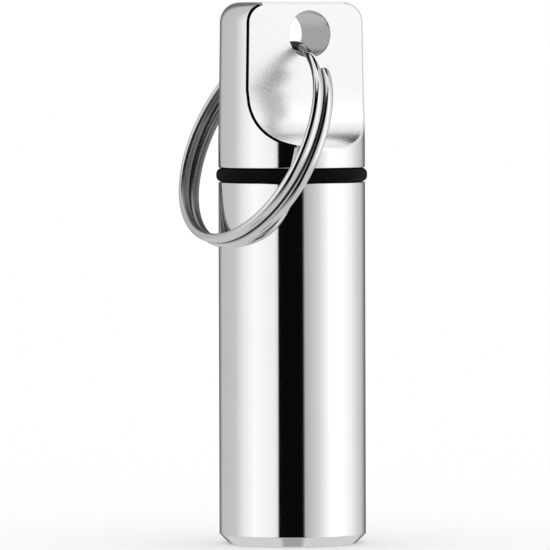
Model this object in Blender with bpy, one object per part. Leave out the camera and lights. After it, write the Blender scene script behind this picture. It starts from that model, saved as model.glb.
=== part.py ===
"""Screw-top pill holder on a split key ring, in metres, +Z up.

The origin is the centre of the tube's flat foot. The tab's flats face -Y and +Y, its cross hole
runs along Y, and the key ring hangs from that hole and leans on the tube on the -X side.
"""
import math

import bmesh
import bpy
from mathutils import Matrix

# Tube: a blind tube turned from round bar
TUBE_DIAMETER = 0.0165
TUBE_LENGTH = 0.0407
WALL_THICKNESS = 0.00245
FLOOR_THICKNESS = 0.0022
FOOT_CHAMFER = 0.0011
RIM_EDGE_BREAK = 0.00015
RIM_WIDTH = 0.0014
MOUTH_DEPTH = 0.0013

# Thread between the cap and the tube, right-handed
THREAD_BELOW_COLLAR = 0.0002
THREAD_PITCH = 0.0015
THREAD_DEPTH = 0.0007
THREAD_CREST_WIDTH = 0.0003
THREAD_CLEARANCE = 0.00012
CAP_THREAD_TURNS = 4
TUBE_THREAD_TURNS = 5
RELIEF_DEPTH = 0.0001
PLUG_CHAMFER = 0.0005

# Cap: turned a little narrower at the top, then milled on two sides and cross drilled
CAP_HEIGHT = 0.0186
CAP_EDGE_BREAK = 0.00015
TOP_ROUNDING = 0.0023
FLANGE_HEIGHT = 0.0023
TAPER_START = 0.0030
TAPER = 0.0002
TAB_THICKNESS = 0.00676
SCOOP_RADIUS = 0.0070
HOLE_DIAMETER = 0.0052
HOLE_TO_TOP = 0.0036
HOLE_OFFSET = 0.0005
HOLE_EDGE_BREAK = 0.0001
COLLAR_CLEARANCE = 0.00015

# Seal: a rubber ring squeezed between the flange and the rim
SEAL_SPACE = 0.0016
SEAL_PROUD = 0.00025
SEAL_CLEARANCE = 0.0002

# Key ring: two turns of oval wire, which cross over where they pass through the tab
RING_DIAMETER = 0.0248
WIRE_WIDTH = 0.0010
WIRE_THICKNESS = 0.0013
TURN_GAP = 0.0001
RING_HOLE_CLEARANCE = 0.0002
RING_LEAN_CLEARANCE = 0.00015
RING_TWIST = math.radians(4.5)
FRONT_END_ANGLE = math.radians(40)
BACK_END_ANGLE = math.radians(30)
END_SPACE_ANGLE = math.radians(3)

# One overrun serves every cut
OVERRUN = 0.0010

# Counts of faces
ROUND_STEPS = 56
CORNER_STEPS = 6
SCOOP_STEPS = 14
WIRE_STEPS = 10
CORD_STEPS = 12
RING_STEPS_PER_TURN = 60

# How square an oval section is: 2 is an ellipse, and more is squarer
WIRE_SQUARENESS = 2.5
SEAL_SQUARENESS = 2.4

FULL_TURN = 2 * math.pi
SMOOTH_ANGLE = math.radians(28)
THREAD_FLANK_ANGLE = math.radians(30)

TUBE_RADIUS = TUBE_DIAMETER / 2
MOUTH_RADIUS = TUBE_RADIUS - RIM_WIDTH
COLLAR_RADIUS = MOUTH_RADIUS - COLLAR_CLEARANCE
THREAD_RADIUS = COLLAR_RADIUS - THREAD_BELOW_COLLAR
THREAD_ROOT_RADIUS = THREAD_RADIUS - THREAD_DEPTH
CAP_BASE_Z = TUBE_LENGTH + SEAL_SPACE
CAP_TOP_Z = CAP_BASE_Z + CAP_HEIGHT
HOLE_Z = CAP_TOP_Z - HOLE_TO_TOP
TAB_HALF = TAB_THICKNESS / 2
WIRE_RADIUS = (RING_DIAMETER - WIRE_WIDTH) / 2

STEEL_COLOUR = (0.80, 0.80, 0.81, 1.0)
RING_COLOUR = (0.66, 0.66, 0.67, 1.0)
RUBBER_COLOUR = (0.012, 0.012, 0.013, 1.0)


def clear_scene():
    """Remove every object that the file opened with."""
    for item in list(bpy.data.objects):
        bpy.data.objects.remove(item, do_unlink=True)


def make_material(name, colour, metallic, roughness):
    """A plain Principled material."""
    material = bpy.data.materials.new(name)
    material.use_nodes = True
    shader = material.node_tree.nodes["Principled BSDF"]
    shader.inputs["Base Color"].default_value = colour
    shader.inputs["Metallic"].default_value = metallic
    shader.inputs["Roughness"].default_value = roughness
    material.diffuse_color = colour
    return material


def add_object(name, bm):
    """Turn a bmesh into an object of the scene."""
    mesh = bpy.data.meshes.new(name)
    bmesh.ops.recalc_face_normals(bm, faces=bm.faces)
    bm.to_mesh(mesh)
    bm.free()
    item = bpy.data.objects.new(name, mesh)
    bpy.context.scene.collection.objects.link(item)
    return item


def finish_piece(item, material):
    """Bake a piece's cuts, give it its material and shade it smooth with crisp edges."""
    depsgraph = bpy.context.evaluated_depsgraph_get()
    baked = bpy.data.meshes.new_from_object(item.evaluated_get(depsgraph))
    item.modifiers.clear()
    item.data = baked
    item.data.materials.clear()
    item.data.materials.append(material)
    item.data.shade_smooth()
    item.data.set_sharp_from_angle(angle=SMOOTH_ANGLE)


def hide_cutter(item):
    """Mark an object as a cutter, which isn't part of the model."""
    item.hide_render = True
    item.display_type = "WIRE"


def cut(item, cutter, name):
    """Take the cutter's shape out of the item."""
    hide_cutter(cutter)
    modifier = item.modifiers.new(name, "BOOLEAN")
    modifier.operation = "DIFFERENCE"
    modifier.solver = "EXACT"
    modifier.object = cutter


def turned(name, profile):
    """Spin a closed outline of (radius, z) points round the Z axis."""
    bm = bmesh.new()
    loop = [bm.verts.new((radius, 0, z)) for radius, z in profile]
    edges = [bm.edges.new(pair) for pair in zip(loop, loop[1:])]
    bmesh.ops.spin(bm, geom=loop + edges, cent=(0, 0, 0), axis=(0, 0, 1), angle=FULL_TURN,
                   steps=ROUND_STEPS, use_merge=True)
    bmesh.ops.remove_doubles(bm, verts=bm.verts, dist=RIM_EDGE_BREAK / ROUND_STEPS)
    return add_object(name, bm)


def swept(name, sections, closed=False):
    """Join equal rings of points, one after the other, into a closed body."""
    bm = bmesh.new()
    rings = [[bm.verts.new(point) for point in section] for section in sections]
    followers = rings[1:] + rings[:1] if closed else rings[1:]
    for ring, following in zip(rings, followers):
        for index, vert in enumerate(ring):
            after = (index + 1) % len(ring)
            bm.faces.new((vert, ring[after], following[after], following[index]))
    if not closed:
        bm.faces.new(rings[0])
        bm.faces.new(rings[-1])
    return add_object(name, bm)


def oval(width, height, squareness, steps):
    """Points of a rounded oval section, as (across, along) offsets."""
    points = []
    for step in range(steps):
        angle = FULL_TURN * (step + 0.5) / steps
        across = math.copysign(abs(math.cos(angle)) ** (2 / squareness), math.cos(angle))
        along = math.copysign(abs(math.sin(angle)) ** (2 / squareness), math.sin(angle))
        points.append((across * width / 2, along * height / 2))
    return points


def thread_cutter(name, bottom_z, top_z, phase_z, inner, outer):
    """A right-handed helical bar, as a lathe tool cuts it, for a thread from bottom_z to top_z.

    It runs half a pitch past both ends, so that the last turns come out whole. It crosses the +X
    side at phase_z, and a whole number of pitches above and below it. The inner and outer sides
    of its section are each a (radius, width).
    """
    rise_per_step = THREAD_PITCH / ROUND_STEPS
    first = round((bottom_z - THREAD_PITCH / 2 - phase_z) / rise_per_step)
    last = round((top_z + THREAD_PITCH / 2 - phase_z) / rise_per_step)
    inner_radius, inner_width = inner
    outer_radius, outer_width = outer
    corners = ((inner_radius, -inner_width / 2), (outer_radius, -outer_width / 2),
               (outer_radius, outer_width / 2), (inner_radius, inner_width / 2))
    sections = []
    for step in range(first, last + 1):
        angle = FULL_TURN * step / ROUND_STEPS
        z = phase_z + step * rise_per_step
        sections.append([(radius * math.cos(angle), radius * math.sin(angle), z + rise)
                         for radius, rise in corners])
    return swept(name, sections)


def flank_widening(radial):
    """How much both flanks together widen a groove or ridge over a radial distance."""
    return 2 * radial * math.tan(THREAD_FLANK_ANGLE)


def plug_levels():
    """Heights of the cap's threaded plug, from the flange down.

    The relief above the thread is one pitch long, so that the groove runs out in it.
    """
    collar_end = TUBE_LENGTH - MOUTH_DEPTH + COLLAR_CLEARANCE
    thread_top = collar_end - THREAD_PITCH
    thread_end = thread_top - CAP_THREAD_TURNS * THREAD_PITCH
    return collar_end, thread_top, thread_end


def make_tube(material):
    """The blind tube with its mouth, internal thread, undercut and chamfered foot."""
    bore = TUBE_RADIUS - WALL_THICKNESS
    crest = THREAD_ROOT_RADIUS + THREAD_CLEARANCE
    groove_root = THREAD_RADIUS + THREAD_CLEARANCE
    undercut = groove_root + RELIEF_DEPTH
    mouth_z = TUBE_LENGTH - MOUTH_DEPTH
    thread_end = mouth_z - TUBE_THREAD_TURNS * THREAD_PITCH
    undercut_end = thread_end - THREAD_PITCH
    profile = [
        (0, 0),
        (TUBE_RADIUS - FOOT_CHAMFER, 0),
        (TUBE_RADIUS, FOOT_CHAMFER),
        (TUBE_RADIUS, TUBE_LENGTH - RIM_EDGE_BREAK),
        (TUBE_RADIUS - RIM_EDGE_BREAK, TUBE_LENGTH),
        (MOUTH_RADIUS + RIM_EDGE_BREAK, TUBE_LENGTH),
        (MOUTH_RADIUS, TUBE_LENGTH - RIM_EDGE_BREAK),
        (MOUTH_RADIUS, mouth_z),
        (crest, mouth_z),
        (crest, thread_end),
        (undercut, thread_end),
        (undercut, undercut_end),
        (bore, undercut_end),
        (bore, FLOOR_THICKNESS),
        (0, FLOOR_THICKNESS),
    ]
    tube = turned("tube", profile)

    # The groove is the cap's ridge grown by the clearance, square to its flanks
    growth = 2 * THREAD_CLEARANCE / math.cos(THREAD_FLANK_ANGLE)
    inner_width = THREAD_CREST_WIDTH + flank_widening(THREAD_DEPTH) + growth
    outer_width = THREAD_CREST_WIDTH - flank_widening(THREAD_CLEARANCE) + growth
    cutter = thread_cutter("tube_thread_cutter", thread_end, mouth_z, mouth_z,
                           (THREAD_ROOT_RADIUS, inner_width), (groove_root, outer_width))
    cut(tube, cutter, "thread")
    finish_piece(tube, material)


def make_cap(material):
    """The cap: tab, scoops, cross hole, flange, collar and external thread."""
    collar_end, thread_top, thread_end = plug_levels()
    relief = THREAD_ROOT_RADIUS - RELIEF_DEPTH
    profile = [
        (0, thread_end),
        (THREAD_ROOT_RADIUS - PLUG_CHAMFER, thread_end),
        (THREAD_RADIUS, thread_end + THREAD_DEPTH + PLUG_CHAMFER),
        (THREAD_RADIUS, thread_top),
        (relief, thread_top),
        (relief, collar_end),
        (COLLAR_RADIUS, collar_end),
        (COLLAR_RADIUS, CAP_BASE_Z),
        (TUBE_RADIUS - CAP_EDGE_BREAK, CAP_BASE_Z),
        (TUBE_RADIUS, CAP_BASE_Z + CAP_EDGE_BREAK),
        (TUBE_RADIUS, CAP_BASE_Z + TAPER_START),
    ]
    corner_radius = TUBE_RADIUS - TAPER - TOP_ROUNDING
    corner_z = CAP_TOP_Z - TOP_ROUNDING
    for step in range(CORNER_STEPS + 1):
        angle = math.pi / 2 * step / CORNER_STEPS
        profile.append((corner_radius + TOP_ROUNDING * math.cos(angle),
                        corner_z + TOP_ROUNDING * math.sin(angle)))
    profile.append((0, CAP_TOP_Z))
    cap = turned("cap", profile)

    for side, side_name in ((-1, "front"), (1, "back")):
        cut(cap, scoop_cutter(side_name + "_scoop_cutter", side), side_name + "_scoop")
    cut(cap, hole_cutter(), "hole")
    cut(cap, cap_thread_cutter(), "thread")
    finish_piece(cap, material)


def scoop_cutter(name, side):
    """A bar across the tab, whose face is the flat and then the concave run-out below it."""
    scoop_centre_y = TAB_HALF + SCOOP_RADIUS
    reach = min(abs(scoop_centre_y - TUBE_RADIUS), SCOOP_RADIUS)
    centre_z = CAP_BASE_Z + FLANGE_HEIGHT + math.sqrt(SCOOP_RADIUS ** 2 - reach ** 2)
    outside_y = max(scoop_centre_y, TUBE_RADIUS) + OVERRUN
    outline = [(outside_y, CAP_TOP_Z + OVERRUN), (TAB_HALF, CAP_TOP_Z + OVERRUN)]
    for step in range(SCOOP_STEPS + 1):
        angle = math.pi + math.pi / 2 * step / SCOOP_STEPS
        outline.append((scoop_centre_y + SCOOP_RADIUS * math.cos(angle),
                        centre_z + SCOOP_RADIUS * math.sin(angle)))
    outline.append((outside_y, centre_z - SCOOP_RADIUS))
    half_length = TUBE_RADIUS + OVERRUN
    ends = (-half_length, half_length)
    return swept(name, [[(x, side * y, z) for y, z in outline] for x in ends])


def hole_cutter():
    """The cross hole, flared where it leaves each flat."""
    radius = HOLE_DIAMETER / 2
    flare = HOLE_EDGE_BREAK + OVERRUN
    profile = [
        (0, -TAB_HALF - OVERRUN),
        (radius + flare, -TAB_HALF - OVERRUN),
        (radius, -TAB_HALF + HOLE_EDGE_BREAK),
        (radius, TAB_HALF - HOLE_EDGE_BREAK),
        (radius + flare, TAB_HALF + OVERRUN),
        (0, TAB_HALF + OVERRUN),
    ]
    cutter = turned("hole_cutter", profile)
    cutter.data.transform(Matrix.Rotation(math.pi / 2, 4, "X"))
    cutter.location = (HOLE_OFFSET, 0, HOLE_Z)
    return cutter


def cap_thread_cutter():
    """The groove between the cap's thread ridges, half a pitch from the tube's groove."""
    root_width = THREAD_PITCH - THREAD_CREST_WIDTH - flank_widening(THREAD_DEPTH)
    outer_radius = THREAD_RADIUS + THREAD_CLEARANCE
    outer_width = root_width + flank_widening(THREAD_DEPTH + THREAD_CLEARANCE)
    thread_top, thread_end = plug_levels()[1:]
    phase_z = TUBE_LENGTH - MOUTH_DEPTH - THREAD_PITCH / 2
    return thread_cutter("cap_thread_cutter", thread_end, thread_top, phase_z,
                         (THREAD_ROOT_RADIUS, root_width), (outer_radius, outer_width))


def make_seal(material):
    """The O-ring round the collar, between the flange and the rim."""
    height = SEAL_SPACE - 2 * SEAL_CLEARANCE
    inner_radius = COLLAR_RADIUS + SEAL_CLEARANCE
    width = TUBE_RADIUS + SEAL_PROUD - inner_radius
    centre_radius = inner_radius + width / 2
    centre_z = TUBE_LENGTH + SEAL_SPACE / 2
    section = oval(width, height, SEAL_SQUARENESS, CORD_STEPS)
    sections = []
    for step in range(ROUND_STEPS):
        angle = FULL_TURN * step / ROUND_STEPS
        sections.append([((centre_radius + across) * math.cos(angle),
                          (centre_radius + across) * math.sin(angle),
                          centre_z + rise) for across, rise in section])
    seal = swept("seal", sections, closed=True)
    finish_piece(seal, material)


def ring_drop():
    """How far the wire's centre hangs below the hole's centre, square to the hole."""
    inner_radius = RING_DIAMETER / 2 - WIRE_WIDTH
    sag = inner_radius - math.sqrt(inner_radius ** 2 - TAB_HALF ** 2)
    return HOLE_DIAMETER / 2 - RING_HOLE_CLEARANCE - sag - WIRE_WIDTH / 2


def ring_lean():
    """The angle from straight down at which the wire's side comes to rest beside the tube."""
    reach = ring_drop() + 2 * WIRE_RADIUS
    half_stack = WIRE_THICKNESS + TURN_GAP / 2
    stand_off = TUBE_RADIUS + HOLE_OFFSET + RING_LEAN_CLEARANCE
    return math.asin(stand_off / math.hypot(reach, half_stack)) + math.atan2(half_stack, reach)


def turn_offset(angle):
    """Where the wire lies across the ring: one turn on each side, crossing through the tab."""
    half_step = (WIRE_THICKNESS + TURN_GAP) / 2
    start = FULL_TURN - BACK_END_ANGLE + END_SPACE_ANGLE
    end = FULL_TURN + FRONT_END_ANGLE - END_SPACE_ANGLE
    share = min(max((angle - start) / (end - start), 0), 1)
    return half_step * (1 - 2 * share * share * (3 - 2 * share))


def make_key_ring(material):
    """The split ring, with its origin on the axis of the tab's hole."""
    centre_z = -(ring_drop() + WIRE_RADIUS)
    section = oval(WIRE_WIDTH, WIRE_THICKNESS, WIRE_SQUARENESS, WIRE_STEPS)
    first = FRONT_END_ANGLE
    last = 2 * FULL_TURN - BACK_END_ANGLE
    steps = round((last - first) / FULL_TURN * RING_STEPS_PER_TURN)
    sections = []
    for step in range(steps + 1):
        angle = first + (last - first) * step / steps
        side = turn_offset(angle)
        sections.append([(side + along, -(WIRE_RADIUS + across) * math.sin(angle),
                          centre_z + (WIRE_RADIUS + across) * math.cos(angle))
                         for across, along in section])
    ring = swept("key_ring", sections)
    ring.location = (HOLE_OFFSET, 0, HOLE_Z)
    ring.rotation_euler = (0, ring_lean(), RING_TWIST)
    finish_piece(ring, material)


def main():
    """Build the four pieces."""
    clear_scene()
    steel = make_material("polished_steel", STEEL_COLOUR, 1.0, 0.06)
    cap_steel = make_material("cap_steel", STEEL_COLOUR, 1.0, 0.08)
    ring_steel = make_material("ring_steel", RING_COLOUR, 1.0, 0.18)
    rubber = make_material("black_rubber", RUBBER_COLOUR, 0.0, 0.45)
    make_tube(steel)
    make_cap(cap_steel)
    make_seal(rubber)
    make_key_ring(ring_steel)
    print("The key ring leans", round(math.degrees(ring_lean()), 2), "degrees")


main()
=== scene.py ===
"""Dressed model of a screw-top steel pill holder on a split key ring.

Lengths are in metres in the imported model's frame: +Z is up, the tab's flats face -Y and +Y, and
the key ring leans on the tube on the -X side.
"""
import logging
import math
from collections.abc import Iterable, Sequence
from dataclasses import dataclass, field
from enum import Enum, IntEnum

import bmesh
import bpy
from mathutils import Euler, Matrix, Quaternion, Vector


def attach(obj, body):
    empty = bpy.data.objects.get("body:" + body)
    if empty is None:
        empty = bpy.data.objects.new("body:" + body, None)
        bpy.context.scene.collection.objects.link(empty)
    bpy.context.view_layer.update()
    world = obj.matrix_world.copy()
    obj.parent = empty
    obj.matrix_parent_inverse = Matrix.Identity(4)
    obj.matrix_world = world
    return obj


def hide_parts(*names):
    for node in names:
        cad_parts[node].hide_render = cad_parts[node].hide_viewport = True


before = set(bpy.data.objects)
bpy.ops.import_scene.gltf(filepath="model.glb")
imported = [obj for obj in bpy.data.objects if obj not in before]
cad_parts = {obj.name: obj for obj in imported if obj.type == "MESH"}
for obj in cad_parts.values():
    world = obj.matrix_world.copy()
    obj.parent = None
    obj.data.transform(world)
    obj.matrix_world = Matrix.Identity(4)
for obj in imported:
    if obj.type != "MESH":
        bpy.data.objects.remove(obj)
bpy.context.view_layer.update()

log = logging.getLogger("pill_holder")

MM = 0.001
FULL_TURN = 2 * math.pi
FULL_TURN_DEGREES = 360
QUARTER_TURN = math.pi / 2
TINY = 1e-9
WELD_DISTANCE = MM / 10000
PAINTED_SHADE = "painted_shade"

Colour = tuple[float, float, float, float]


def clamped(value: float) -> float:
    """The value, held between 0 and 1."""
    return min(max(value, 0.0), 1.0)


def linear(grey: float) -> float:
    """The linear level of a grey from 0 to 255 on an sRGB screen."""
    share = grey / 255
    return share / 12.92 if share <= 0.04045 else ((share + 0.055) / 1.055) ** 2.4


def grey_colour(level: float) -> Colour:
    """The neutral colour of a linear level."""
    return (level, level, level, 1.0)


def add_object(name: str, data: bpy.types.ID) -> bpy.types.Object:
    """Add an object to the scene.

    Args:
        name: The object's name.
        data: Its mesh or camera.

    Returns:
        The new object.
    """
    item = bpy.data.objects.new(name, data)
    bpy.context.scene.collection.objects.link(item)
    return item


# Surfaces with true normals


class Side(IntEnum):
    """The two flats of the tab, by the sign of Y that each one faces."""

    FRONT = -1
    BACK = 1


class Hand(IntEnum):
    """The two halves of a flat, by the sign of X on which each one lies."""

    RIGHT = 1
    LEFT = -1


class Zone(IntEnum):
    """Which of a piece's finishes a stretch of its surface wears."""

    POLISHED = 0
    MACHINED = 1
    DRILLED = 2


@dataclass
class Skin:
    """Points with their true normals, and the faces between them, for one closed piece."""

    points: list[Vector] = field(default_factory=list)
    normals: list[Vector] = field(default_factory=list)
    faces: list[tuple[int, ...]] = field(default_factory=list)
    zones: list[int] = field(default_factory=list)

    def add(self, point: Vector, normal: Vector) -> int:
        """Add a point.

        Args:
            point: Its place.
            normal: The surface's normal there, of any length.

        Returns:
            The point's index.
        """
        self.points.append(point)
        self.normals.append(normal.normalized())
        return len(self.points) - 1

    def face(self, corners: Sequence[int], zone: Zone) -> None:
        """Add a face, turned to look the way that its points' normals do.

        Args:
            corners: The indices of the face's points, in order either way round.
            zone: The finish that the face wears.
        """
        across = Vector()
        lean = Vector()
        for here, after in zip(corners, list(corners[1:]) + [corners[0]]):
            across += self.points[here].cross(self.points[after])
            lean += self.normals[here]
        ordered = tuple(corners) if across.dot(lean) > 0 else tuple(reversed(corners))
        self.faces.append(ordered)
        self.zones.append(zone.value)

    def join(self, low: Sequence[int], high: Sequence[int], zone: Zone,
             closed: bool = True) -> None:
        """Join two rows of points with faces, where a row of one point is a pole.

        Args:
            low: One row of indices.
            high: The next row, as long as the first, or one point.
            zone: The finish of the faces between them.
            closed: True if the rows run all the way round.
        """
        count = max(len(low), len(high))
        for index in range(count if closed else count - 1):
            after = (index + 1) % count
            corners = [low[index % len(low)], low[after % len(low)],
                       high[after % len(high)], high[index % len(high)]]
            self.face(list(dict.fromkeys(corners)), zone)

    def build(self, name: str, finishes: Sequence[bpy.types.Material]) -> bpy.types.Object:
        """Make the piece's object.

        Args:
            name: The piece's name.
            finishes: One material for each zone that the faces name.

        Returns:
            The new object, linked to the scene, with the true normals stored on its mesh.
        """
        mesh = bpy.data.meshes.new(name)
        mesh.from_pydata(self.points, [], self.faces)
        for finish in finishes:
            mesh.materials.append(finish)
        mesh.polygons.foreach_set("material_index", self.zones)
        mesh.shade_smooth()
        mesh.normals_split_custom_set_from_vertices(self.normals)
        mesh.update()
        return add_object(name, mesh)


@dataclass(frozen=True)
class Corner:
    """A corner of a turned outline, with the radius that eases it.

    The zone is the finish of the stretch that leaves the corner.
    """

    radius: float
    height: float
    ease: float = 0.0
    zone: Zone = Zone.POLISHED


@dataclass(frozen=True)
class OutlinePoint:
    """A point of an eased outline, with its outward normal in the (radius, height) plane."""

    radius: float
    height: float
    out_radial: float
    out_axial: float
    zone: Zone


def eased_outline(corners: Sequence[Corner], arc_steps: int = 6) -> list[OutlinePoint]:
    """Round the corners of a turned outline, which runs with the metal on its left.

    Args:
        corners: The outline's corners. The first and last keep no easing.
        arc_steps: The number of steps in each eased corner.

    Returns:
        The outline's points with their true normals.
    """
    legs = []
    for here, after in zip(corners, corners[1:]):
        run = Vector((after.radius - here.radius, after.height - here.height)).normalized()
        legs.append(run)
    first, last = corners[0], corners[-1]
    points = [OutlinePoint(first.radius, first.height, legs[0].y, -legs[0].x, first.zone)]
    for corner, before, after, leg, following in zip(
            corners[1:-1], corners, corners[2:], legs, legs[1:]):
        turn = math.atan2(leg.x * following.y - leg.y * following.x, leg.dot(following))
        bulge = math.copysign(corner.ease, turn)
        setback = corner.ease * math.tan(abs(turn) / 2)
        centre = Vector((corner.radius, corner.height)) - leg * setback
        centre -= Vector((leg.y, -leg.x)) * bulge
        for step in range(arc_steps + 1):
            angle = turn * step / arc_steps
            out = Vector((leg.y * math.cos(angle) + leg.x * math.sin(angle),
                          leg.y * math.sin(angle) - leg.x * math.cos(angle)))
            place = centre + out * bulge
            zone = corner.zone if step == arc_steps else before.zone
            points.append(OutlinePoint(place.x, place.y, out.x, out.y, zone))
    points.append(OutlinePoint(last.radius, last.height, legs[-1].y, -legs[-1].x, last.zone))
    return points


def compass(columns: int) -> list[Vector]:
    """Directions in plan from the front, -Y, round by +X.

    Args:
        columns: The number of directions.

    Returns:
        The directions, evenly spaced.
    """
    angles = [FULL_TURN * column / columns for column in range(columns)]
    return [Vector((math.sin(angle), -math.cos(angle), 0)) for angle in angles]


def turned_rows(skin: Skin, outline: Iterable[OutlinePoint],
                directions: Sequence[Vector]) -> list[list[int]]:
    """Add the points of an outline turned round the Z axis.

    Args:
        skin: The skin that takes the points.
        outline: The outline's points.
        directions: The plan directions of the columns.

    Returns:
        One row of indices for each outline point, of a single index on the axis.
    """
    rows = []
    for point in outline:
        up = Vector((0, 0, point.height))
        lift = Vector((0, 0, point.out_axial))
        if point.radius < TINY:
            rows.append([skin.add(up, lift)])
        else:
            rows.append([skin.add(up + way * point.radius, lift + way * point.out_radial)
                         for way in directions])
    return rows


# Node trees


class TreeKind(Enum):
    """What a node group is made of."""

    SHADER = "ShaderNodeTree"
    GEOMETRY = "GeometryNodeTree"


class Blend(Enum):
    """How one colour takes over from another."""

    MIX = "MIX"
    MULTIPLY = "MULTIPLY"


class NodeBench:
    """Places nodes in one tree and joins them."""

    def __init__(self, tree: bpy.types.NodeTree) -> None:
        """Keep the tree that the nodes go into."""
        self.tree = tree

    def feed(self, socket: bpy.types.NodeSocket, source: object) -> None:
        """Link a socket, or set its value.

        Args:
            socket: The input to feed.
            source: The output that is linked to it, or a plain value.
        """
        if isinstance(source, bpy.types.NodeSocket):
            self.tree.links.new(source, socket)
        else:
            socket.default_value = source

    def node(self, kind: str, inputs: dict[str | int, object] | None = None,
             **settings: object) -> bpy.types.Node:
        """Place a node.

        Args:
            kind: The node's Blender type.
            inputs: Sources or plain values, by the input's name or number.
            settings: The node's own properties.

        Returns:
            The new node.
        """
        made = self.tree.nodes.new(kind)
        for name, value in settings.items():
            setattr(made, name, value)
        for name, source in (inputs or {}).items():
            self.feed(made.inputs[name], source)
        return made

    def maths(self, operation: str, *terms: object) -> bpy.types.NodeSocket:
        """Place a Math node on the given terms and return its result."""
        return self.node("ShaderNodeMath", dict(enumerate(terms)), operation=operation).outputs[0]

    def weighted_sum(self, base: object, *terms: tuple[object, float]) -> object:
        """Add weighted values to a base.

        Args:
            base: The source or plain value to start from.
            terms: The values to add, each with its weight.

        Returns:
            The sum.
        """
        total = base
        for value, weight in terms:
            total = self.maths("MULTIPLY_ADD", value, weight, total)
        return total

    def vector(self, x: object = 0.0, y: object = 0.0, z: object = 0.0) -> bpy.types.NodeSocket:
        """Join three terms to a vector."""
        return self.node("ShaderNodeCombineXYZ", {0: x, 1: y, 2: z}).outputs[0]

    def stretched(self, place: object, stretch: object) -> bpy.types.NodeSocket:
        """Multiply a place by a stretch along each axis."""
        return self.node("ShaderNodeVectorMath", {0: place, 1: stretch},
                         operation="MULTIPLY").outputs[0]

    def facing(self, direction: object, towards: Sequence[float]) -> bpy.types.NodeSocket:
        """The dot product of a direction and a fixed one."""
        return self.node("ShaderNodeVectorMath", {0: direction, 1: towards},
                         operation="DOT_PRODUCT").outputs["Value"]

    def upward(self, direction: object) -> bpy.types.NodeSocket:
        """The upward part of a direction."""
        return self.node("ShaderNodeSeparateXYZ", {0: direction}).outputs[2]

    def remap(self, value: object, low: object, high: object, to_low: object = 0.0,
              to_high: object = 1.0, smooth: bool = False) -> bpy.types.NodeSocket:
        """Map a value from one range to another, clamped.

        Args:
            value: The value to map.
            low: The value that gives to_low.
            high: The value that gives to_high.
            to_low: One end of the result.
            to_high: The other end of the result.
            smooth: True to ease the change at both ends.

        Returns:
            The mapped value.
        """
        kind = "SMOOTHSTEP" if smooth else "LINEAR"
        return self.node("ShaderNodeMapRange", {0: value, 1: low, 2: high, 3: to_low, 4: to_high},
                         interpolation_type=kind).outputs[0]

    def blend(self, share: object, first: object, second: object,
              way: Blend = Blend.MIX) -> bpy.types.NodeSocket:
        """Blend two colours.

        Args:
            share: How far the second colour takes over, from 0 to 1.
            first: The first colour.
            second: The second colour.
            way: How it takes over.

        Returns:
            The blended colour.
        """
        return self.node("ShaderNodeMix", {0: share, 6: first, 7: second}, data_type="RGBA",
                         blend_type=way.value).outputs[2]

    def noise(self, place: object, scale: object, detail: float, roughness: object = 0.5,
              distortion: float = 0.0) -> bpy.types.NodeSocket:
        """Place a Noise Texture node.

        Args:
            place: Where the noise is read.
            scale: How many features there are in a unit of the place.
            detail: How many finer octaves are added.
            roughness: How strong each finer octave is.
            distortion: How much the noise is warped.

        Returns:
            The noise's value.
        """
        return self.node("ShaderNodeTexNoise", {
            "Vector": place, "Scale": scale, "Detail": detail, "Roughness": roughness,
            "Distortion": distortion}).outputs[0]

    def bump(self, height: object, depth: float) -> bpy.types.NodeSocket:
        """Turn a height pattern of the given depth into a normal."""
        return self.node("ShaderNodeBump", {"Height": height, "Strength": 1.0,
                                            "Distance": depth}).outputs[0]

    def effect(self, group: bpy.types.NodeTree, **inputs: object) -> bpy.types.NodeSocket:
        """Place a shared effect with the given inputs and return its output."""
        return self.node("ShaderNodeGroup", inputs, node_tree=group).outputs[0]

    def put_out(self, result: bpy.types.NodeSocket) -> None:
        """End the tree's group with its one result."""
        self.node("NodeGroupOutput", {0: result})


def open_group(name: str, kind: TreeKind, inputs: dict[str, tuple[str, object]],
               outputs: dict[str, str]) -> tuple[NodeBench, bpy.types.NodeOutputs]:
    """Start a node group with named inputs and outputs.

    Args:
        name: The group's name.
        kind: What the group is made of.
        inputs: The socket type and starting value of each input, by name.
        outputs: The socket type of each output, by name.

    Returns:
        A bench on the group's tree, and the sockets that give its inputs, by name.
    """
    tree = bpy.data.node_groups.new(name, kind.value)
    for label, (socket_type, value) in inputs.items():
        socket = tree.interface.new_socket(label, in_out="INPUT", socket_type=socket_type)
        if value is not None:
            socket.default_value = value
    for label, socket_type in outputs.items():
        tree.interface.new_socket(label, in_out="OUTPUT", socket_type=socket_type)
    bench = NodeBench(tree)
    return bench, bench.node("NodeGroupInput").outputs


def open_material(name: str) -> tuple[bpy.types.Material, NodeBench, bpy.types.NodeInputs]:
    """Start a material.

    Args:
        name: The material's name.

    Returns:
        The material, a bench on its tree, and its Principled shader's inputs.
    """
    material = bpy.data.materials.new(name)
    material.use_nodes = True
    tree = material.node_tree
    return material, NodeBench(tree), tree.nodes["Principled BSDF"].inputs


# Shared surface effects


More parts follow.
